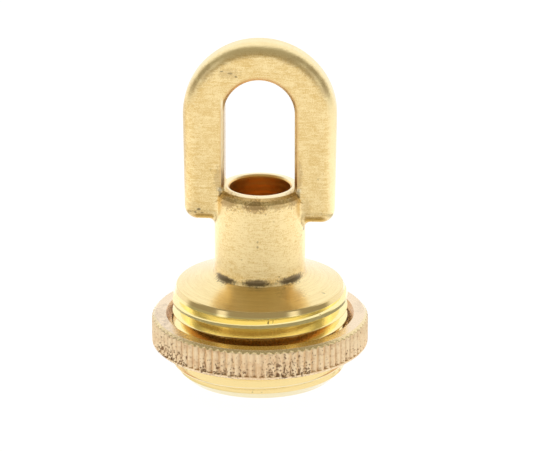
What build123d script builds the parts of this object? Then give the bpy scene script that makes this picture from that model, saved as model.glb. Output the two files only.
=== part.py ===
from build123d import *
import math
import os

os.makedirs("parts", exist_ok=True)

# Screw collar loop: a cast loop on a threaded flange, and the knurled ring that runs on its thread.
# Millimetres, +Z up, the axis of the thread is Z and the flat bottom of the flange is Z = 0.
# The loop's flat faces look along -Y and +Y.

# Thread on the flange, right hand, 16 turns an inch
thread_radius = 13.2
thread_pitch = 1.5875
groove_width = 1.49
groove_half_angle = 30
groove_depth = groove_width / 2 / math.tan(math.radians(groove_half_angle))
groove_first_height = -0.9
groove_start_angle = 75
groove_turns = 8.08
groove_pieces = 9
end_chamfer = 1.8

# In its last turn the groove rises out of the flange, its upper side still on the thread's pitch
runout_turns = 1.36
runout_pieces = 2
runout_rise = groove_depth / runout_turns
runout_pitch = thread_pitch + runout_rise * math.tan(math.radians(groove_half_angle))

# Tapered land above the thread
land_taper = 0.6
land_radius = thread_radius - land_taper
land_bottom = 12.6
land_top = 14.14
land_edge_break = 0.15

# Neck and its rim
neck_radius = 6.8
neck_foot = 15.8
neck_foot_round = 0.8
neck_foot_steps = 2
rim_height = 29.8
rim_round = 1.6
rim_steps = 4
nipple_bore_radius = 4.56
bore_edge_break = 0.3
bore_countersink = 0.6

# Loop
loop_centre = 41.08
loop_outer_radius = 11.45
slot_centre = 41.7
loop_slot_radius = 5.28
loop_depth = 5.4
leg_foot_half_width = 11.2
leg_foot_left = 24.7
leg_foot_right = 24.4
leg_corner_round = 2.0
foot_step_half_width = 4
slot_floor = 29.25
slot_floor_round = 1.0
outer_edge_round = 2.0
slot_edge_chamfer = 0.4
leg_neck_round = 1.0

# Knurled ring
running_clearance = 0.12
ring_wall = 3.04
ring_bore_radius = thread_radius + running_clearance
ring_radius = ring_bore_radius + ring_wall
ring_bottom = 4.85
ring_top = 9.45
ring_mouth_chamfer = 0.88
ring_top_chamfer = 0.55
ring_bottom_chamfer = 0.25
knurl_lip = 0.45
knurl_count = 90
knurl_depth = 0.3
knurl_half_angle = 45
notch_reach = ring_radius + knurl_depth
notch_reach_half_width = 2 * knurl_depth * math.tan(math.radians(knurl_half_angle))


def round_steps(centre, radius, start, end, steps):
    """Points of a small round that is turned as a few short slopes."""
    points = []
    for step in range(steps + 1):
        angle = math.radians(start + (end - start) * step / steps)
        points.append((centre[0] + radius * math.cos(angle), centre[1] + radius * math.sin(angle)))
    return points


def flange_and_neck():
    """Turned shape of the flange and the neck, its rim still square."""
    foot_centre = (neck_radius + neck_foot_round, neck_foot + neck_foot_round)
    with BuildPart() as turned:
        with BuildSketch(Plane.XZ):
            with BuildLine():
                Polyline(
                    (0, 0),
                    (thread_radius - end_chamfer, 0),
                    (thread_radius, end_chamfer),
                    (thread_radius, land_bottom),
                    (land_radius, land_top - land_edge_break),
                    (land_radius - land_edge_break, land_top),
                    *round_steps(foot_centre, neck_foot_round, 270, 180, neck_foot_steps),
                    (neck_radius, rim_height),
                    (0, rim_height),
                    close=True,
                )
            make_face()
        revolve(axis=Axis.Z)
    return turned.part


def is_foot_line(edge):
    """Whether an edge is a straight line across the feet, which stay sharp there."""
    along = edge % 0.5
    return edge.geom_type == GeomType.LINE and abs(along.X) > abs(along.Z)


def loop_bar():
    """The loop: a round-topped bar bent over, with both legs beside the neck."""
    half = loop_depth / 2
    with BuildPart() as bar:
        with BuildSketch(Plane.XZ):
            with BuildLine():
                Polyline(
                    (-loop_outer_radius, loop_centre),
                    (-leg_foot_half_width, leg_foot_left),
                    (-foot_step_half_width, leg_foot_left),
                    (foot_step_half_width, leg_foot_right),
                    (leg_foot_half_width, leg_foot_right),
                    (loop_outer_radius, loop_centre),
                )
                ThreePointArc(
                    (loop_outer_radius, loop_centre),
                    (0, loop_centre + loop_outer_radius),
                    (-loop_outer_radius, loop_centre),
                )
            make_face()
            with BuildLine():
                Polyline(
                    (loop_slot_radius, slot_centre),
                    (loop_slot_radius, slot_floor + slot_floor_round),
                )
                RadiusArc(
                    (loop_slot_radius, slot_floor + slot_floor_round),
                    (loop_slot_radius - slot_floor_round, slot_floor),
                    slot_floor_round,
                )
                Polyline(
                    (loop_slot_radius - slot_floor_round, slot_floor),
                    (slot_floor_round - loop_slot_radius, slot_floor),
                )
                RadiusArc(
                    (slot_floor_round - loop_slot_radius, slot_floor),
                    (-loop_slot_radius, slot_floor + slot_floor_round),
                    slot_floor_round,
                )
                Polyline(
                    (-loop_slot_radius, slot_floor + slot_floor_round),
                    (-loop_slot_radius, slot_centre),
                )
                ThreePointArc(
                    (-loop_slot_radius, slot_centre),
                    (0, slot_centre + loop_slot_radius),
                    (loop_slot_radius, slot_centre),
                )
            make_face(mode=Mode.SUBTRACT)
        extrude(amount=half, both=True)
        for foot in ((-leg_foot_half_width, 0, leg_foot_left), (leg_foot_half_width, 0, leg_foot_right)):
            fillet(bar.edges().filter_by(Axis.Y).sort_by_distance(foot)[0], leg_corner_round)
        for side in (0, -1):
            face = bar.faces().filter_by(Axis.Y).sort_by(Axis.Y)[side]
            outline = face.outer_wire().edges()
            fillet(outline.filter_by(lambda edge: not is_foot_line(edge)), outer_edge_round)
        for side in (0, -1):
            face = bar.faces().filter_by(Axis.Y).sort_by(Axis.Y)[side]
            chamfer(face.inner_wires()[0].edges(), slot_edge_chamfer)
    return bar.part


def rim_waste():
    """What is turned off round the neck's rim, clear of the legs."""
    rim_centre = (neck_radius - rim_round, rim_height - rim_round)
    with BuildPart() as waste:
        with BuildSketch(Plane.XZ):
            with BuildLine():
                Polyline(
                    *round_steps(rim_centre, rim_round, 90, 0, rim_steps),
                    (neck_radius + rim_round, rim_height - 2 * rim_round),
                    (neck_radius + rim_round, rim_height + rim_round),
                    (neck_radius - rim_round, rim_height + rim_round),
                    close=True,
                )
            make_face()
        revolve(axis=Axis.Z)
        add(loop_bar(), mode=Mode.SUBTRACT)
    return waste.part


def is_leg_root(edge):
    """Whether an edge lies where a leg runs into the neck's side."""
    middle = edge @ 0.5
    on_neck = abs(math.hypot(middle.X, middle.Y) - neck_radius) < leg_neck_round / 10
    lowest = min(leg_foot_left, leg_foot_right) - leg_neck_round
    return on_neck and lowest < middle.Z < rim_height - leg_neck_round / 10


def nipple_bore():
    """Bore for the threaded nipple, from the flat bottom through the neck."""
    with BuildPart() as bore:
        with BuildSketch(Plane.XZ):
            with BuildLine():
                Polyline(
                    (0, -0.5),
                    (nipple_bore_radius + bore_countersink + 0.5, -0.5),
                    (nipple_bore_radius, bore_countersink),
                    (nipple_bore_radius, rim_height - bore_edge_break),
                    (nipple_bore_radius + bore_edge_break + 0.5, rim_height + 0.5),
                    (0, rim_height + 0.5),
                    close=True,
                )
            make_face()
        revolve(axis=Axis.Z)
    return bore.part


def groove_length(turns, pitch, root, slope):
    """One length of the thread's V groove, starting on +X at Z = 0; its root leaves the axis at this slope."""
    reach = groove_depth + groove_width / 10
    half_mouth = reach * math.tan(math.radians(groove_half_angle))
    with BuildPart() as groove:
        with BuildLine():
            path = Helix(pitch, turns * pitch, root, cone_angle=slope)
        with BuildSketch(Plane(origin=path @ 0, x_dir=(1, 0, 0), z_dir=path % 0)):
            Polygon((0, 0), (reach, -half_mouth), (reach, half_mouth), align=None)
        sweep(path=path, is_frenet=True)
    return groove.part


def thread_grooves():
    """The groove's lengths in their places, each starting where the last one ended."""
    placed = []
    each = groove_turns / groove_pieces
    plain = groove_length(each, thread_pitch, thread_radius - groove_depth, 0)
    for piece in range(groove_pieces):
        turned = groove_start_angle + piece * each * 360
        placed.append(Pos(Z=groove_first_height + piece * each * thread_pitch) * Rot(Z=turned) * plain)
    each = runout_turns / runout_pieces
    slope = math.degrees(math.atan(runout_rise / runout_pitch))
    top = groove_first_height + groove_turns * thread_pitch
    for piece in range(runout_pieces):
        root = thread_radius - groove_depth + piece * each * runout_rise
        turned = groove_start_angle + (groove_turns + piece * each) * 360
        rising = groove_length(each, runout_pitch, root, slope)
        placed.append(Pos(Z=top + piece * each * runout_pitch) * Rot(Z=turned) * rising)
    return placed


with BuildPart() as loop_body:
    add(flange_and_neck())
    for piece in thread_grooves():
        add(piece, mode=Mode.SUBTRACT)
    add(loop_bar())
    fillet(loop_body.edges().filter_by(is_leg_root), leg_neck_round)
    add(rim_waste(), mode=Mode.SUBTRACT)
    add(nipple_bore(), mode=Mode.SUBTRACT)
loop_body.part.label = "loop_body"
export_step(loop_body.part, "parts/loop_body.step")


# The ring is a prism with a flat for every knurl tooth, and its corners are notched.
# Its bore is plain, at the crest of the flange's thread plus running clearance.
with BuildPart() as collar_ring:
    with BuildSketch(Plane.XY.offset(ring_bottom + ring_bottom_chamfer)):
        RegularPolygon(ring_radius, knurl_count)
    extrude(amount=ring_top - ring_top_chamfer - ring_bottom - ring_bottom_chamfer)
    extrude(collar_ring.faces().sort_by(Axis.Z)[-1], amount=ring_top_chamfer, taper=45)
    extrude(collar_ring.faces().sort_by(Axis.Z)[0], amount=ring_bottom_chamfer, taper=45)
    with BuildSketch(Plane.XY.offset(ring_bottom + knurl_lip)):
        with PolarLocations(0, knurl_count):
            Polygon(
                (ring_radius - knurl_depth, 0),
                (notch_reach, notch_reach_half_width),
                (notch_reach, -notch_reach_half_width),
                align=None,
            )
    extrude(amount=ring_top - ring_bottom, mode=Mode.SUBTRACT)
    with BuildSketch(Plane.XZ):
        with BuildLine():
            Polyline(
                (0, ring_bottom - ring_wall),
                (ring_bore_radius, ring_bottom - ring_wall),
                (ring_bore_radius, ring_top - ring_mouth_chamfer),
                (ring_bore_radius + 2 * ring_mouth_chamfer, ring_top + ring_mouth_chamfer),
                (0, ring_top + ring_mouth_chamfer),
                close=True,
            )
        make_face()
    revolve(axis=Axis.Z, mode=Mode.SUBTRACT)
collar_ring.part.label = "collar_ring"
export_step(collar_ring.part, "parts/collar_ring.step")
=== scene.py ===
import math
import random

import bmesh
import bpy
import mathutils
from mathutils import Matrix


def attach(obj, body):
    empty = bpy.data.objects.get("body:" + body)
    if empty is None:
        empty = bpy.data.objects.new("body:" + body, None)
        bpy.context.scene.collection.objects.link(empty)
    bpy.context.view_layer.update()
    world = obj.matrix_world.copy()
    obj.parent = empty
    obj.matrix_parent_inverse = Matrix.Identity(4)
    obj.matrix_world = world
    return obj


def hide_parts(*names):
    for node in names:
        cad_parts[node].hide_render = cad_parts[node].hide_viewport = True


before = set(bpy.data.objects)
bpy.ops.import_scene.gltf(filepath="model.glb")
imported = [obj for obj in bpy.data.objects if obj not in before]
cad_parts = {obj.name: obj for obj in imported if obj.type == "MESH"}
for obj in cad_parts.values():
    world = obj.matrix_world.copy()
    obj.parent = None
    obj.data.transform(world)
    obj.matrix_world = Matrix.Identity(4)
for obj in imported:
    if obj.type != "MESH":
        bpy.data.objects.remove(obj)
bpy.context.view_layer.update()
print("frame loaded")

mm = 0.001
white = (1, 1, 1, 1)


# Short ways to join up nodes. A source may be another node's output, or a plain number or colour.

def newMaterial(name):
    made = bpy.data.materials.new(name)
    made.use_nodes = True
    tree = made.node_tree
    shader = next(node for node in tree.nodes if node.type == "BSDF_PRINCIPLED")
    return made, tree, shader


def newNode(tree, kind, **settings):
    node = tree.nodes.new(kind)
    for key, value in settings.items():
        setattr(node, key, value)
    return node


def join(tree, source, socket):
    if isinstance(source, bpy.types.NodeSocket):
        tree.links.new(source, socket)
    else:
        socket.default_value = source


def maths(tree, operation, first, second=0.0, third=0.0):
    node = newNode(tree, "ShaderNodeMath", operation=operation)
    for socket, value in zip(node.inputs, (first, second, third)):
        join(tree, value, socket)
    return node.outputs[0]


def chained(tree, operation, values):
    result = values[0]
    for value in values[1:]:
        result = maths(tree, operation, result, value)
    return result


def times(tree, *values):
    return chained(tree, "MULTIPLY", values)


def plus(tree, *values):
    return chained(tree, "ADD", values)


def most(tree, *values):
    return chained(tree, "MAXIMUM", values)


def less(tree, first, second):
    return maths(tree, "SUBTRACT", first, second)


def plusPart(tree, base, share, whole):  # base and a share of whole
    return maths(tree, "MULTIPLY_ADD", share, whole, base)


def between(tree, share, start, end):  # from start to end, two plain numbers
    return plusPart(tree, start, share, end - start)


def ramp(tree, value, start, end):  # 0 at start, 1 at end, smooth between
    node = newNode(tree, "ShaderNodeMapRange", interpolation_type="SMOOTHSTEP")
    for socket, item in zip(node.inputs, (value, start, end, 0.0, 1.0)):
        join(tree, item, socket)
    return node.outputs[0]


def band(tree, value, low, high, soft):  # 1 between two limits, 0 outside
    return times(tree, ramp(tree, value, low - soft, low + soft), ramp(tree, value, high + soft, high - soft))


def mixColour(tree, share, first, second):
    node = newNode(tree, "ShaderNodeMix", data_type="RGBA")
    join(tree, share, node.inputs[0])
    join(tree, first, node.inputs[6])
    join(tree, second, node.inputs[7])
    return node.outputs[2]


def splitPlace(tree, vector):
    parts = newNode(tree, "ShaderNodeSeparateXYZ")
    tree.links.new(vector, parts.inputs[0])
    return parts.outputs


def acrossBoth(tree, first, second):  # length of two sides at right angles
    return maths(tree, "SQRT", plus(tree, times(tree, first, first), times(tree, second, second)))


def placeOn(tree):  # object place: the vector, x, y, z and distance from the axis
    vector = newNode(tree, "ShaderNodeTexCoord").outputs["Object"]
    x, y, z = splitPlace(tree, vector)
    return vector, x, y, z, acrossBoth(tree, x, y)


def turnFromFront(tree, x, y):  # degrees round the axis from the front, the same to either side
    turn = maths(tree, "DEGREES", maths(tree, "ARCTAN2", x, times(tree, y, -1.0)))
    return maths(tree, "ABSOLUTE", turn)


def noise(tree, vector, size, detail, roughness, stretch=(1, 1, 1)):  # features about size across
    mapping = newNode(tree, "ShaderNodeMapping")
    join(tree, vector, mapping.inputs["Vector"])
    mapping.inputs["Scale"].default_value = [1 / size / part for part in stretch]
    node = newNode(tree, "ShaderNodeTexNoise")
    join(tree, mapping.outputs[0], node.inputs["Vector"])
    node.inputs["Scale"].default_value = 1.0
    node.inputs["Detail"].default_value = detail
    node.inputs["Roughness"].default_value = roughness
    return node.outputs[0]


def pits(tree, vector, size, share):  # 1 in the middle of scattered round pits, 0 elsewhere
    node = newNode(tree, "ShaderNodeTexVoronoi")
    join(tree, vector, node.inputs["Vector"])
    node.inputs["Scale"].default_value = 1 / size
    chosen = newNode(tree, "ShaderNodeSeparateColor")
    tree.links.new(node.outputs["Color"], chosen.inputs[0])
    hollow = ramp(tree, node.outputs["Distance"], 0.3, 0.1)
    return times(tree, hollow, ramp(tree, chosen.outputs[0], 1 - share, 1 - share + 0.1))


def turningMarks(tree, distance, z, angle, size):  # fine rings left by a lathe tool, a little uneven round the axis
    along = newNode(tree, "ShaderNodeCombineXYZ")
    for source, socket in zip((distance, z, times(tree, angle, 0.7 * mm)), along.inputs):
        join(tree, source, socket)
    return noise(tree, along.outputs[0], size, 3.0, 0.7)


def vectorMaths(tree, operation, vector, fixed):
    node = newNode(tree, "ShaderNodeVectorMath", operation=operation)
    tree.links.new(vector, node.inputs[0])
    node.inputs[1].default_value = [part * mm for part in fixed]
    return node.outputs[0]


def markShade(tree, vector, marks, ragged):  # 1 inside small marks at given places, with ragged edges
    shades = []
    for place, half, strength in marks:
        scaled = vectorMaths(tree, "DIVIDE", vectorMaths(tree, "SUBTRACT", vector, place), half)
        reach = newNode(tree, "ShaderNodeVectorMath", operation="LENGTH")
        tree.links.new(scaled, reach.inputs[0])
        inside = ramp(tree, plus(tree, reach.outputs["Value"], ragged), 1.15, 0.55)
        shades.append(times(tree, inside, strength))
    return most(tree, *shades)


def bump(tree, height, distance, normal):
    node = newNode(tree, "ShaderNodeBump")
    node.inputs["Strength"].default_value = 1.0
    node.inputs["Distance"].default_value = distance
    join(tree, height, node.inputs["Height"])
    join(tree, normal, node.inputs["Normal"])
    return node.outputs[0]


def roundedEdges(tree, radius):
    node = newNode(tree, "ShaderNodeBevel", samples=4)
    join(tree, radius, node.inputs["Radius"])
    return node.outputs[0]


# Studio: a white room with the dark of the open side in front of the part, and a white strip at each side of it.
# Angles are degrees: height above the level, and turn from the front.
studio = {
    "white": 1.1,
    "dark": 0.38,
    "darkWarm": (1, 0.91, 0.68, 1),
    "darkLow": -2.0,
    "darkHigh": 82.0,
    "darkTurn": 106.0,
    "darkSoft": 8.0,
    "strip": 1.15,
    "stripTurn": 50.0,
    "stripHalf": 8.0,
    "stripSoft": 6.0,
    "stripHigh": 32.0,
    "stripHighSoft": 2.0,
}


def studioLight():
    look = studio
    world = bpy.data.worlds.new("studio")
    bpy.context.scene.world = world
    world.use_nodes = True
    tree = world.node_tree
    tree.nodes.clear()
    x, y, z = splitPlace(tree, newNode(tree, "ShaderNodeTexCoord").outputs["Generated"])
    height = maths(tree, "DEGREES", maths(tree, "ARCSINE", z))
    turn = turnFromFront(tree, x, y)
    soft = look["darkSoft"]
    dark = times(
        tree,
        band(tree, height, look["darkLow"], look["darkHigh"], soft),
        ramp(tree, turn, look["darkTurn"] + soft, look["darkTurn"] - soft),
    )
    middle, half = look["stripTurn"], look["stripHalf"]
    high, soft = look["stripHigh"], look["stripHighSoft"]
    strip = times(
        tree,
        band(tree, turn, middle - half, middle + half, look["stripSoft"]),
        ramp(tree, height, high + soft, high - soft),
    )
    light = between(tree, dark, look["white"], look["dark"])
    light = most(tree, light, times(tree, strip, look["strip"]))
    seen = newNode(tree, "ShaderNodeLightPath").outputs["Is Camera Ray"]
    shade = times(tree, dark, less(tree, 1.0, strip), less(tree, 1.0, seen))
    background = newNode(tree, "ShaderNodeBackground")
    join(tree, mixColour(tree, shade, white, look["darkWarm"]), background.inputs["Color"])
    join(tree, most(tree, light, seen), background.inputs["Strength"])
    output = newNode(tree, "ShaderNodeOutputWorld")
    tree.links.new(background.outputs[0], output.inputs["Surface"])


studioLight()
print("studio set")

# Floor: a white light table. A dark strip lies before the part, and only what mirrors the floor shows it.
table = {
    "size": 4.0,
    "drop": 0.02 * mm,
    "paint": (0.15, 0.15, 0.15, 1),
    "rough": 0.9,
    "glow": 0.95,
    "mirrored": 0.99,
    "dark": 0.2,
    "darkWarm": (1, 0.91, 0.62, 1),
    "darkFrom": 36.5 * mm,
    "darkTo": 52 * mm,
    "darkSoft": 1 * mm,
    "darkTurn": 135.0,
    "darkTurnSoft": 3.0,
    "sideGlow": 0.35,
    "sideFrom": 48 * mm,
    "sideTo": 88 * mm,
    "sideSoft": 6 * mm,
    "sideTurnFrom": 5.0,
    "sideTurnTo": 125.0,
}


def lightTable():
    look = table
    bpy.ops.mesh.primitive_plane_add(size=look["size"], location=(0, 0, -look["drop"]))
    floor = bpy.context.object
    floor.name = "floor"
    paint, tree, shader = newMaterial("table_white")
    _, x, y, _, distance = placeOn(tree)
    turn = turnFromFront(tree, x, y)
    soft = look["darkTurnSoft"]
    dark = times(
        tree,
        band(tree, distance, look["darkFrom"], look["darkTo"], look["darkSoft"]),
        ramp(tree, turn, look["darkTurn"] + soft, look["darkTurn"] - soft),
    )
    side = times(
        tree,
        band(tree, distance, look["sideFrom"], look["sideTo"], look["sideSoft"]),
        ramp(tree, turn, look["sideTurnFrom"], look["sideTurnTo"]),
    )
    mirrored = plusPart(tree, between(tree, dark, look["mirrored"], look["dark"]), side, look["sideGlow"])
    glossy = newNode(tree, "ShaderNodeLightPath").outputs["Is Glossy Ray"]
    glow = plusPart(tree, look["glow"], glossy, less(tree, mirrored, look["glow"]))
    colour = mixColour(tree, times(tree, dark, glossy), white, look["darkWarm"])
    shader.inputs["Base Color"].default_value = look["paint"]
    shader.inputs["Roughness"].default_value = look["rough"]
    shader.inputs["Specular IOR Level"].default_value = 0.0
    join(tree, colour, shader.inputs["Emission Color"])
    join(tree, glow, shader.inputs["Emission Strength"])
    floor.data.materials.append(paint)


lightTable()
print("table laid")

# Loop body: satin cast brass, with the flange turned bright and a bore with a faint thread.
# Heights are from the part's foot. A mark is its place and half its size in millimetres, and its strength.
loopLook = {
    # Cast skin
    "castLight": (1.0, 0.80, 0.42, 1),
    "castDark": (0.77, 0.53, 0.19, 1),
    "castRough": 0.34,
    "castEdge": 0.12 * mm,
    "cloud": 2.6 * mm,
    "blotch": 0.8 * mm,
    "cloudShare": 0.55,
    "brushed": 0.2 * mm,
    "brushedStretch": (8, 3, 1),
    "speck": 0.17 * mm,
    "brushedShare": 1.2,
    "grain": 0.3 * mm,
    "grainShare": 0.6,
    "grainDepth": 0.022 * mm,
    "grainRough": 0.25,
    "wave": 1.5 * mm,
    "waveDepth": 0.05 * mm,
    "paleness": 1.55,
    # The neck is painted a little paler as light
    "neckHighlight": 0.19,
    "neckFrom": 17.6 * mm,
    "neckTo": 28.0 * mm,
    "neckRadius": 7.0 * mm,
    "pitSize": 0.8 * mm,
    "pitShare": 0.14,
    "pitsFrom": 36.0 * mm,
    "pitsFull": 29.0 * mm,
    "pitsAbove": 0.2,
    # Film of the handled brass
    "film": 0.4,
    "filmRough": 0.35,
    # Flange, from its cone top down
    "turned": (0.95, 0.78, 0.40, 1),
    "turnedDark": (0.80, 0.60, 0.27, 1),
    "turnedEdge": 0.03 * mm,
    "coneRough": 0.22,
    "threadRough": 0.12,
    # The thread's grooves are painted brighter and yellower, and the thread below the ring paler, as light
    "grooved": (0.99, 0.84, 0.40, 1),
    "lowTurned": (0.96, 0.85, 0.58, 1),
    "endTurned": (0.84, 0.73, 0.44, 1),
    "flangeTop": 16.2 * mm,
    "landTop": 14.1 * mm,
    "groovedTop": 13.35 * mm,
    "lowTurnedTop": 4.9 * mm,
    "endTurnedTop": 1.1 * mm,
    "toolMark": 0.14 * mm,
    "toolMarkDepth": 0.25,
    "streak": 0.4 * mm,
    "streakShare": 0.6,
    # The land is painted darker all round as shade
    "landShadeShare": 0.6,
    # Bore, and the turned rim round it, which is painted paler as a highlight
    "boreColour": (1.0, 0.62, 0.18, 1),
    "boreRough": 0.32,
    "boreRadius": 4.7 * mm,
    "boreTop": 29.4 * mm,
    "borePitch": 0.94 * mm,
    "boreDepth": 0.012 * mm,
    "rimFaceHighlight": (1.0, 0.86, 0.55, 1),
    "rimFaceFrom": 29.66 * mm,
    "rimFaceTo": 30.2 * mm,
    "rimFaceRadius": 6.6 * mm,
    # Painted highlight on the outer edge of the loop, most at its top and right
    "edgeHighlightColour": (1.0, 0.86, 0.50, 1),
    "edgeHighlightShare": 0.65,
    "edgeHighlightFrom": 9.9 * mm,
    "edgeHighlightFull": 10.8 * mm,
    "edgeHighlightTop": (42.0 * mm, 48.0 * mm),
    "edgeHighlightRight": (-2.0 * mm, 5.0 * mm),
    "loopCentre": 41.08 * mm,
    # Slot: a brown line of painted shade round its edge, a painted highlight on its left, and painted shade on its
    # walls
    "slotRimShade": (0.78, 0.50, 0.20, 1),
    "slotRimShadeShare": 0.6,
    "slotWall": 5.28 * mm,
    "slotCentre": 41.7 * mm,
    "slotFoot": 30.6 * mm,
    "slotStraight": 44.0 * mm,
    # Marks
    "tarnishAndShade": (0.42, 0.26, 0.10, 1),
    "tarnishAndShadeShare": 0.6,
    "rimShadeShare": 0.8,
    "wallShadeShare": 0.75,
    # Grime colour, also used for the painted shade at the neck's foot
    "grime": (0.13, 0.09, 0.045, 1),
    "grimeAndShadeShare": 0.9,
    "pitDirt": 0.45,
    "raggedEdge": 0.35 * mm,
    "raggedness": 2.2,
    # Partly real tarnish, partly painted shade: at the slot's foot, the loop's lower corners, its left edge and the
    # dark band round its top
    "tarnishAndShadeMarks": (
        ((-6.1, -2.7, 31.4), (0.7, 0.8, 2.2), 0.7),
        ((5.9, -2.7, 32.2), (0.6, 0.8, 2.6), 0.7),
        ((5.6, 2.7, 32.6), (0.6, 0.8, 2.4), 0.6),
        ((-4.4, -2.7, 48.0), (1.8, 0.8, 0.9), 0.45),
        ((-8.4, -2.2, 48.2), (2.0, 1.0, 1.5), 0.5),
        ((-10.0, -2.2, 46.2), (1.0, 1.0, 1.6), 0.5),
        ((4.8, -2.2, 50.0), (2.2, 1.0, 0.8), 0.35),
        ((8.0, -2.2, 48.4), (1.8, 1.0, 1.2), 0.45),
        ((9.8, -2.2, 46.2), (0.9, 1.0, 1.9), 0.55),
        ((-10.2, -2.6, 26.6), (1.6, 0.9, 1.6), 0.3),
        ((6.9, -2.6, 27.0), (0.9, 0.8, 2.0), 0.35),
        ((-11.5, -0.6, 35.0), (0.8, 3.6, 13.0), 0.5),
        ((5.2, -7.4, 15.3), (2.2, 2.2, 1.0), 0.6),
    ),
    "grimeMarks": (
        ((-5.5, -2.7, 48.4), (0.28, 0.4, 0.12), 0.6),
        ((-4.3, -2.7, 48.1), (0.40, 0.4, 0.16), 0.5),
        ((-3.4, -2.7, 47.6), (0.22, 0.4, 0.14), 0.6),
        ((-9.0, -2.7, 26.7), (0.34, 0.4, 0.18), 0.8),
        ((-9.5, -2.7, 26.2), (0.26, 0.4, 0.2), 0.7),
        ((-8.5, -2.7, 26.1), (0.3, 0.4, 0.12), 0.6),
        ((-10.6, -2.6, 27.3), (0.16, 0.4, 0.14), 0.7),
        ((-10.3, -2.6, 26.2), (0.2, 0.4, 0.2), 0.6),
        ((6.7, -1.5, 23.5), (0.25, 0.5, 0.35), 0.8),
        ((-5.8, -2.9, 29.6), (0.30, 0.6, 0.9), 0.6),
        ((5.9, -2.9, 29.3), (0.30, 0.6, 0.8), 0.6),
        ((1.7, -9.2, 14.9), (0.16, 0.3, 0.3), 0.7),
        ((9.9, -5.2, 14.7), (0.5, 0.16, 0.2), 0.6),
        ((1.9, -12.8, 13.0), (0.14, 0.6, 0.30), 0.9),
        ((2.6, -12.7, 12.9), (0.12, 0.6, 0.26), 0.9),
        ((-8.9, -9.4, 12.4), (0.20, 0.3, 0.10), 0.7),
        ((9.4, -9.0, 12.6), (0.18, 0.3, 0.12), 0.8),
        ((-0.5, -12.5, 1.4), (0.22, 0.3, 0.14), 0.9),
        ((0.9, -12.5, 1.4), (0.16, 0.3, 0.12), 0.9),
    ),
    # Painted shade in the fillet at the neck's foot, three dark patches in front and two behind
    "footShadeMarks": (
        ((-5.3, -4.8, 16.4), (2.6, 2.8, 0.62), 1.0),
        ((-0.3, -7.2, 16.6), (2.7, 1.5, 0.62), 1.0),
        ((5.3, -4.8, 16.55), (3.0, 3.0, 0.68), 1.0),
        ((-4.6, 5.4, 16.4), (3.2, 2.4, 0.6), 0.8),
        ((3.4, 6.4, 16.5), (3.4, 1.8, 0.6), 0.8),
    ),
    # Painted shade on the rounding round the bore's rim
    "rimShadeMarks": (
        ((-4.4, -4.7, 28.6), (2.0, 2.0, 1.2), 0.8),
        ((-0.4, -6.4, 28.5), (1.9, 1.2, 1.05), 1.0),
        ((2.9, -5.8, 28.7), (1.5, 1.2, 0.9), 0.5),
        ((5.2, -3.9, 28.9), (1.0, 1.8, 1.3), 0.8),
        ((0.8, 6.4, 28.5), (3.4, 1.6, 0.8), 0.6),
    ),
}


def castColour(tree, look, z, distance, cloud, blotch, brushed, speck, grain):
    neck = times(
        tree,
        band(tree, z, look["neckFrom"], look["neckTo"], 0.8 * mm),
        ramp(tree, distance, look["neckRadius"] + 0.6 * mm, look["neckRadius"]),
    )
    tone = plus(
        tree,
        times(tree, plus(tree, cloud, blotch), look["cloudShare"]),
        times(tree, plus(tree, brushed, speck), look["brushedShare"]),
        times(tree, grain, look["grainShare"]),
    )
    # Painted light: the neck's tone made a little paler
    tone = less(tree, tone, plusPart(tree, look["paleness"], neck, look["neckHighlight"]))
    return mixColour(tree, ramp(tree, tone, 0.0, 1.0), look["castLight"], look["castDark"])


def turnedColour(tree, look, z, marks, streaks):
    streaky = times(
        tree,
        ramp(tree, plus(tree, streaks, times(tree, marks, 0.5)), 0.5, 1.1),
        ramp(tree, z, look["landTop"] - 0.1 * mm, look["landTop"]),
        look["streakShare"],
    )
    colour = mixColour(tree, streaky, look["turned"], look["turnedDark"])
    # Painted shade: the plain land under the cone top in the darker turned colour
    landShade = times(
        tree,
        ramp(tree, z, look["landTop"] + 0.05 * mm, look["landTop"]),
        ramp(tree, z, look["groovedTop"], look["groovedTop"] + 0.1 * mm),
    )
    colour = mixColour(tree, times(tree, landShade, look["landShadeShare"]), colour, look["turnedDark"])
    # Painted light: brighter grooves and a paler thread below the ring
    for name, soft in (("grooved", 0.1 * mm), ("lowTurned", 0.2 * mm), ("endTurned", 0.2 * mm)):
        top = look[name + "Top"]
        colour = mixColour(tree, ramp(tree, z, top + soft, top), colour, look[name])
    return colour


def archDistance(tree, x, z, centre):  # distance from the middle of a straight-sided arch
    raised = most(tree, less(tree, z, centre), 0.0)
    return acrossBoth(tree, x, raised)


def slotEdges(tree, look, x, z):  # masks for the painted shade on the slot's walls, the painted highlight on its left and the painted shade line round it
    wallAt = look["slotWall"]
    fromMiddle = maths(tree, "ABSOLUTE", x)
    straight = band(tree, z, look["slotFoot"], look["slotStraight"], 0.5 * mm)
    wallShade = times(tree, ramp(tree, fromMiddle, wallAt + 0.06 * mm, wallAt + 0.02 * mm), straight)
    leftHighlight = times(
        tree,
        band(tree, fromMiddle, wallAt + 0.08 * mm, wallAt + 0.4 * mm, 0.03 * mm),
        ramp(tree, x, 0.0, -0.1 * mm),
        straight,
    )
    fromSlot = archDistance(tree, x, z, look["slotCentre"])
    slotEdgeShade = times(
        tree,
        band(tree, fromSlot, wallAt + 0.05 * mm, wallAt + 0.6 * mm, 0.12 * mm),
        ramp(tree, z, look["slotFoot"] - 0.1 * mm, look["slotFoot"] + 0.9 * mm),
    )
    return wallShade, leftHighlight, slotEdgeShade


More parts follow.
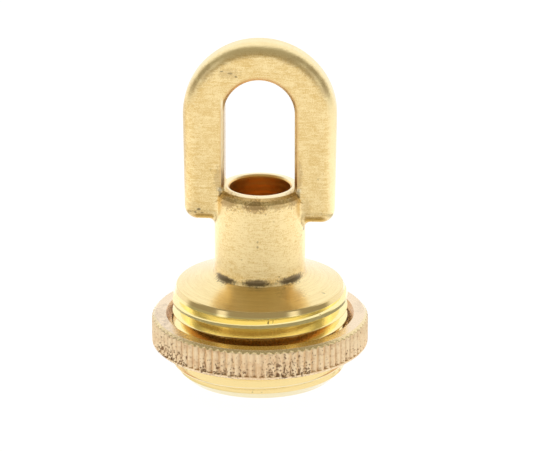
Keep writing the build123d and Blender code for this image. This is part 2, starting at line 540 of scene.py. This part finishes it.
def loopBrass():
    look = loopLook
    made, tree, shader = newMaterial("loop_brass")
    vector, x, y, z, distance = placeOn(tree)
    angle = maths(tree, "ARCTAN2", y, x)

    # Where each finish lies
    flange = ramp(tree, z, look["flangeTop"], look["flangeTop"] - 0.3 * mm)
    cast = less(tree, 1.0, flange)
    thread = ramp(tree, z, look["landTop"], look["landTop"] - 0.1 * mm)
    bore = times(
        tree,
        ramp(tree, distance, look["boreRadius"] + 0.1 * mm, look["boreRadius"]),
        ramp(tree, z, look["boreTop"] + 0.4 * mm, look["boreTop"]),
    )
    rimFaceHighlight = times(
        tree,
        band(tree, z, look["rimFaceFrom"], look["rimFaceTo"], 0.05 * mm),
        ramp(tree, distance, look["rimFaceRadius"] + 0.4 * mm, look["rimFaceRadius"]),
    )

    # Textures
    cloud = noise(tree, vector, look["cloud"], 3.0, 0.5)
    blotch = noise(tree, vector, look["blotch"], 2.0, 0.5)
    grain = noise(tree, vector, look["grain"], 4.0, 0.62)
    brushed = noise(tree, vector, look["brushed"], 2.0, 0.6, look["brushedStretch"])
    speck = noise(tree, vector, look["speck"], 1.0, 0.5)
    marks = turningMarks(tree, distance, z, angle, look["toolMark"])
    streaks = turningMarks(tree, distance, z, angle, look["streak"])
    ragged = times(tree, less(tree, noise(tree, vector, look["raggedEdge"], 4.0, 0.65), 0.5), look["raggedness"])

    # Colour, cleanest first
    colour = castColour(tree, look, z, distance, cloud, blotch, brushed, speck, grain)
    colour = mixColour(tree, flange, colour, turnedColour(tree, look, z, marks, streaks))
    # Painted highlight: the rim round the bore in a paler colour
    colour = mixColour(tree, rimFaceHighlight, colour, look["rimFaceHighlight"])
    outward = archDistance(tree, x, z, look["loopCentre"])
    # Painted highlight: the loop's outer edge in a paler colour, most at its top and right
    edgeHighlight = times(
        tree,
        ramp(tree, outward, look["edgeHighlightFrom"], look["edgeHighlightFull"]),
        cast,
        most(tree, ramp(tree, z, *look["edgeHighlightTop"]), ramp(tree, x, *look["edgeHighlightRight"])),
        look["edgeHighlightShare"],
    )
    colour = mixColour(tree, edgeHighlight, colour, look["edgeHighlightColour"])
    tarnishAndShade = markShade(tree, vector, look["tarnishAndShadeMarks"], ragged)
    grime = markShade(tree, vector, look["grimeMarks"], times(tree, ragged, 0.5))
    footShade = markShade(tree, vector, look["footShadeMarks"], times(tree, ragged, 0.6))
    rimShade = markShade(tree, vector, look["rimShadeMarks"], times(tree, ragged, 1.7))
    # Tarnish and painted shade from these marks
    colour = mixColour(tree, times(tree, tarnishAndShade, look["tarnishAndShadeShare"]), colour, look["tarnishAndShade"])
    # Painted shade round the bore's rim, in the tarnish colour
    colour = mixColour(tree, times(tree, rimShade, look["rimShadeShare"]), colour, look["tarnishAndShade"])
    # Painted shade round the slot's edge and on its walls, in the tarnish colour, and a painted highlight along its
    # left edge
    wallShade, leftHighlight, slotEdgeShade = slotEdges(tree, look, x, z)
    colour = mixColour(tree, times(tree, slotEdgeShade, look["slotRimShadeShare"]), colour, look["slotRimShade"])
    colour = mixColour(tree, leftHighlight, colour, look["rimFaceHighlight"])
    wallShade = times(tree, wallShade, ramp(tree, grain, 0.3, 0.6), look["wallShadeShare"])
    colour = mixColour(tree, wallShade, colour, look["tarnishAndShade"])
    pitted = between(tree, ramp(tree, z, look["pitsFrom"], look["pitsFull"]), look["pitsAbove"], 1.0)
    pit = times(tree, pits(tree, vector, look["pitSize"], look["pitShare"]), cast, pitted)
    # Dirt and pits, with the painted shade at the neck's foot, all in the grime colour
    dirtAndFootShade = most(tree, grime, footShade, times(tree, pit, look["pitDirt"]))
    colour = mixColour(tree, times(tree, dirtAndFootShade, look["grimeAndShadeShare"]), colour, look["grime"])
    join(tree, mixColour(tree, bore, colour, look["boreColour"]), shader.inputs["Base Color"])

    shader.inputs["Metallic"].default_value = 1.0
    shader.inputs["Coat Weight"].default_value = look["film"]
    shader.inputs["Coat Roughness"].default_value = look["filmRough"]
    rough = between(tree, flange, look["castRough"], look["coneRough"])
    rough = plusPart(tree, rough, thread, look["threadRough"] - look["coneRough"])
    rough = plusPart(tree, rough, bore, look["boreRough"] - look["castRough"])
    rough = plusPart(tree, rough, times(tree, less(tree, grain, 0.5), cast), look["grainRough"])
    join(tree, rough, shader.inputs["Roughness"])

    # Relief: softened edges, slow waves, grain with pits and tool marks, and the bore's fine thread
    skin = less(tree, cast, bore)
    normal = roundedEdges(tree, between(tree, flange, look["castEdge"], look["turnedEdge"]))
    wave = times(tree, noise(tree, vector, look["wave"], 2.0, 0.5), skin)
    normal = bump(tree, wave, look["waveDepth"], normal)
    height = times(tree, plusPart(tree, grain, brushed, 0.5), skin)
    height = less(tree, height, times(tree, most(tree, pit, grime), 2.0))
    height = plusPart(tree, height, times(tree, marks, flange), look["toolMarkDepth"])
    normal = bump(tree, height, look["grainDepth"], normal)
    turns = plusPart(tree, maths(tree, "DIVIDE", z, look["borePitch"]), angle, 1 / (2 * math.pi))
    crest = times(tree, maths(tree, "SINE", times(tree, turns, 2 * math.pi)), bore)
    join(tree, bump(tree, crest, look["boreDepth"], normal), shader.inputs["Normal"])
    return made


# Collar ring: rough pinkish cast brass, knurled round the side and turned on top
ringLook = {
    "cast": (1.0, 0.79, 0.51, 1),
    "castDark": (0.86, 0.60, 0.34, 1),
    "castRough": 0.42,
    "grain": 0.26 * mm,
    "grainDepth": 0.04 * mm,
    "grainRough": 0.25,
    "cloud": 1.4 * mm,
    "fleck": 0.36 * mm,
    "edge": 0.08 * mm,
    "film": 0.4,
    "filmRough": 0.4,
    # Turned top: its chamfer, its face and the mouth of the bore
    "turned": (0.87, 0.69, 0.47, 1),
    "chamfer": (0.86, 0.69, 0.38, 1),
    # The mouth of the bore is painted dark reddish brown as shade, strongest at the front
    "mouthShade": (0.62, 0.30, 0.12, 1),
    "turnedRough": 0.26,
    "toolMark": 0.12 * mm,
    "faceEdge": 15.5 * mm,
    "faceHeight": 9.44 * mm,
    "chamferFoot": 8.9 * mm,
    "mouthRadius": 14.25 * mm,
    # Dirt in the knurl, thickest low down, dark lines along the grooves that are partly dirt and partly painted
    # shade, and stains on top
    "dirtAndGrooveShade": (0.30, 0.16, 0.07, 1),
    "dirtAndGrooveShadeShare": 0.9,
    "fleckLimit": 0.68,
    "fleckLimitInDirt": -0.16,
    "fleckLimitInGroove": -0.04,
    "stain": (0.42, 0.30, 0.20, 1),
    "stainShare": 0.8,
    "toothTop": 16.28 * mm,
    "toothRoot": 15.99 * mm,
    "dirtHigh": 8.6 * mm,
    "dirtLow": 5.0 * mm,
    "dirtAnywhere": 0.22,
    "dirtyPlaces": (
        ((4.8, -15.4, 6.4), (4.4, 4.0, 3.0), 1.0),
        ((-13.2, -9.2, 6.6), (4.4, 5.6, 2.8), 0.95),
        ((-5.0, -15.4, 5.9), (6.0, 4.0, 1.7), 0.85),
        ((-8.0, 13.8, 6.2), (5.0, 4.0, 2.2), 0.8),
        ((12.4, 10.2, 6.0), (4.0, 4.6, 2.0), 0.7),
    ),
    "stainMarks": (
        ((-14.9, -2.0, 9.45), (1.6, 3.6, 0.8), 0.8),
        ((-12.6, -8.0, 9.3), (1.8, 1.8, 0.8), 0.7),
        ((-12.2, -10.6, 9.1), (3.4, 3.2, 0.7), 0.8),
        ((-13.9, -5.4, 9.45), (0.5, 1.8, 0.6), 1.0),
        ((15.0, 3.0, 9.45), (1.0, 3.0, 0.8), 0.4),
        ((4.0, 14.6, 9.45), (4.0, 1.4, 0.8), 0.6),
    ),
}


def ringBrass():
    look = ringLook
    made, tree, shader = newMaterial("ring_brass")
    vector, x, y, z, distance = placeOn(tree)
    angle = maths(tree, "ARCTAN2", y, x)

    # Where each finish lies
    below = ramp(tree, z, look["chamferFoot"] + 0.08 * mm, look["chamferFoot"])
    outside = ramp(tree, distance, look["faceEdge"], look["faceEdge"] + 0.2 * mm)
    underFace = ramp(tree, z, look["faceHeight"], look["faceHeight"] - 0.04 * mm)
    side = times(tree, outside, below)
    top = less(tree, 1.0, side)
    # Painted shade in the mouth, twice as strong at the front as at the back
    chamfer = times(tree, outside, less(tree, 1.0, below), underFace)
    mouthShade = times(
        tree,
        ramp(tree, distance, look["mouthRadius"], look["mouthRadius"] - 0.1 * mm),
        underFace,
        between(tree, ramp(tree, y, -3.0 * mm, -9.0 * mm), 0.5, 1.0),
    )
    groove = ramp(tree, distance, look["toothTop"], look["toothRoot"])
    low = ramp(tree, z, look["dirtHigh"], look["dirtLow"])

    # Textures
    grain = noise(tree, vector, look["grain"], 5.0, 0.65)
    cloud = noise(tree, vector, look["cloud"], 3.0, 0.6)
    fleck = noise(tree, vector, look["fleck"], 3.0, 0.62)
    marks = turningMarks(tree, distance, z, angle, look["toolMark"])
    ragged = times(tree, less(tree, cloud, 0.5), 3.0)

    # Dirt: flecks, more of them in the dirty places and the grooves, and dark lines along the grooves, partly dirt
    # and partly painted shade
    dirtyPlace = most(tree, markShade(tree, vector, look["dirtyPlaces"], ragged), look["dirtAnywhere"])
    thick = times(tree, dirtyPlace, between(tree, low, 0.4, 1.0))
    fleckLimit = plusPart(tree, look["fleckLimit"], thick, look["fleckLimitInDirt"])
    fleckLimit = plusPart(tree, fleckLimit, groove, look["fleckLimitInGroove"])
    speck = ramp(tree, less(tree, fleck, fleckLimit), -0.015, 0.045)
    line = times(tree, groove, groove, groove, plusPart(tree, -0.1, cloud, 0.8))
    dirtAndGrooveShade = times(tree, side, most(tree, speck, times(tree, line, 0.9)))

    # Colour, cleanest first
    tone = plusPart(tree, times(tree, cloud, 0.5), fleck, 0.5)
    colour = mixColour(tree, ramp(tree, tone, 0.42, 0.64), look["cast"], look["castDark"])
    colour = mixColour(tree, top, colour, look["turned"])
    colour = mixColour(tree, chamfer, colour, look["chamfer"])
    colour = mixColour(tree, mouthShade, colour, look["mouthShade"])
    stain = times(tree, markShade(tree, vector, look["stainMarks"], ragged), top)
    stain = times(tree, stain, ramp(tree, grain, 0.35, 0.65), look["stainShare"])
    colour = mixColour(tree, stain, colour, look["stain"])
    colour = mixColour(tree, times(tree, dirtAndGrooveShade, look["dirtAndGrooveShadeShare"]), colour, look["dirtAndGrooveShade"])
    join(tree, colour, shader.inputs["Base Color"])

    shader.inputs["Metallic"].default_value = 1.0
    shader.inputs["Coat Weight"].default_value = look["film"]
    shader.inputs["Coat Roughness"].default_value = look["filmRough"]
    rough = between(tree, top, look["castRough"], look["turnedRough"])
    rough = plusPart(tree, rough, less(tree, grain, 0.5), look["grainRough"])
    join(tree, plusPart(tree, rough, dirtAndGrooveShade, 0.3), shader.inputs["Roughness"])

    height = plusPart(tree, times(tree, grain, between(tree, side, 0.2, 1.0)), marks, 0.3)
    height = less(tree, height, times(tree, dirtAndGrooveShade, 0.8))
    normal = bump(tree, height, look["grainDepth"], roundedEdges(tree, look["edge"]))
    join(tree, normal, shader.inputs["Normal"])
    return made


# Knurled ring: the CAD ring's own section, with V grooves that run up through its top chamfer and differ a little.
# Millimetres.
knurl = {
    "teeth": 90,
    "pointsATooth": 10,
    "crest": 16.34,
    "depth": 0.36,
    "depthSpread": 0.16,
    "turnSpread": 0.05,
    "crestRound": 1.25,
    "lipRadius": 16.3,
    "lipTop": 5.3,
    "bottom": 4.85,
    "top": 9.45,
    "chamfer": 0.55,
    "bottomChamfer": 0.25,
    "faceRadii": (15.6, 15.2, 14.8, 14.2),
    "mouthSteps": ((13.9, 9.15), (13.6, 8.85)),
    "mouthFoot": 8.57,
    "bore": 13.32,
    "boreMiddle": 6.7,
    "sideFrom": 0.07,
    "sideStep": 0.22,
    "sideRows": 16,
    "crownFrom": 8.84,
    "crownStep": 0.061,
    "crownRows": 11,
    "pitDepth": 0.03,
    "pitSize": 0.42,
    "pitRadius": 16,
    "creaseAngle": 28,
    "seed": 7,
}


def knurledRing():
    look = knurl
    chance = random.Random(look["seed"])
    teeth = [
        (1 - look["depthSpread"] * chance.random(), look["turnSpread"] * (chance.random() - 0.5))
        for tooth in range(look["teeth"])
    ]
    columns = look["teeth"] * look["pointsATooth"]

    # Rows of points round the ring: up the outside, across the top, and down the mouth and the bore
    bore, lip, bottom, top = look["bore"], look["lipRadius"], look["bottom"], look["top"]
    toothHeights = [look["lipTop"] + look["sideFrom"] + step * look["sideStep"] for step in range(look["sideRows"])]
    toothHeights += [look["crownFrom"] + step * look["crownStep"] for step in range(look["crownRows"])]
    rows = [("plain", bore, bottom), ("plain", lip - look["bottomChamfer"], bottom)]
    rows += [("plain", lip, bottom + look["bottomChamfer"]), ("plain", lip, look["lipTop"])]
    rows += [("tooth", None, height) for height in toothHeights]
    rows += [("plain", radius, top) for radius in look["faceRadii"]]
    rows += [("plain", radius, height) for radius, height in look["mouthSteps"]]
    rows += [("plain", bore, look["mouthFoot"]), ("plain", bore, look["boreMiddle"])]

    def toothRadius(column, height):
        tooth, place = divmod(column, look["pointsATooth"])
        deep, shift = teeth[tooth]
        across = abs((place / look["pointsATooth"] + shift) % 1.0 - 0.5) * 2  # 1 on the crest, 0 in the root
        radius = look["crest"] - look["depth"] * deep * (1 - across ** look["crestRound"])
        turn = 2 * math.pi * column / columns
        away = look["pitRadius"]
        spot = mathutils.Vector((away * math.cos(turn), away * math.sin(turn), height)) / look["pitSize"]
        radius -= look["pitDepth"] * max(0.0, mathutils.noise.noise(spot))
        return min(radius, look["crest"] - max(0.0, height - look["top"] + look["chamfer"]))

    mesh = bmesh.new()
    grid = []
    for kind, radius, height in rows:
        points = []
        for column in range(columns):
            turn = 2 * math.pi * column / columns
            reach = toothRadius(column, height) if kind == "tooth" else radius
            points.append(mesh.verts.new((reach * math.cos(turn) * mm, reach * math.sin(turn) * mm, height * mm)))
        grid.append(points)
    for row in range(len(rows)):
        lower, upper = grid[row], grid[(row + 1) % len(rows)]
        for column in range(columns):
            after = (column + 1) % columns
            mesh.faces.new((lower[column], lower[after], upper[after], upper[column]))
    bmesh.ops.recalc_face_normals(mesh, faces=mesh.faces)
    for face in mesh.faces:
        face.smooth = True
    for edge in mesh.edges:
        edge.smooth = edge.calc_face_angle(0) < math.radians(look["creaseAngle"])
    data = bpy.data.meshes.new("knurled_ring")
    mesh.to_mesh(data)
    mesh.free()
    ring = bpy.data.objects.new("knurled_ring", data)
    bpy.context.scene.collection.objects.link(ring)
    ring.data.materials.append(ringBrass())
    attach(ring, "collar")
    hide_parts("collar_ring")


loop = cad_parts["loop_body"]
loop.data.materials.clear()
loop.data.materials.append(loopBrass())
print("loop brass made")
knurledRing()
print("ring knurled")

# Camera at the photograph's place, for a picture of 533 by 452 pixels
photo = {
    "distance": 660 * mm,
    "rise": 20.3,
    "turn": 3.0,
    "aimHeight": 23.2 * mm,
    "scaleHeight": 10 * mm,  # where pixelsAMetre was measured, on the axis
    "shiftAcross": 0.0122,
    "pixelsAcross": 533,
    "pixelsAMetre": 6620,
    "sensor": 36,
}


def photoCamera():
    look = photo
    lens = bpy.data.cameras.new("camera")
    camera = bpy.data.objects.new("camera", lens)
    bpy.context.scene.collection.objects.link(camera)
    rise = math.radians(look["rise"])
    turn = math.radians(look["turn"])
    level = look["distance"] * math.cos(rise)
    camera.location = (
        level * math.sin(turn),
        -level * math.cos(turn),
        look["aimHeight"] + look["distance"] * math.sin(rise),
    )
    camera.rotation_euler = (math.pi / 2 - rise, 0, turn)
    depth = look["distance"] + (look["aimHeight"] - look["scaleHeight"]) * math.sin(rise)
    lens.sensor_width = look["sensor"]
    lens.lens = look["pixelsAMetre"] * depth / look["pixelsAcross"] * look["sensor"]
    lens.shift_x = look["shiftAcross"]
    lens.clip_start = 0.01
    bpy.context.scene.camera = camera
    bpy.context.scene.view_settings.view_transform = "Standard"


photoCamera()
print("camera set")
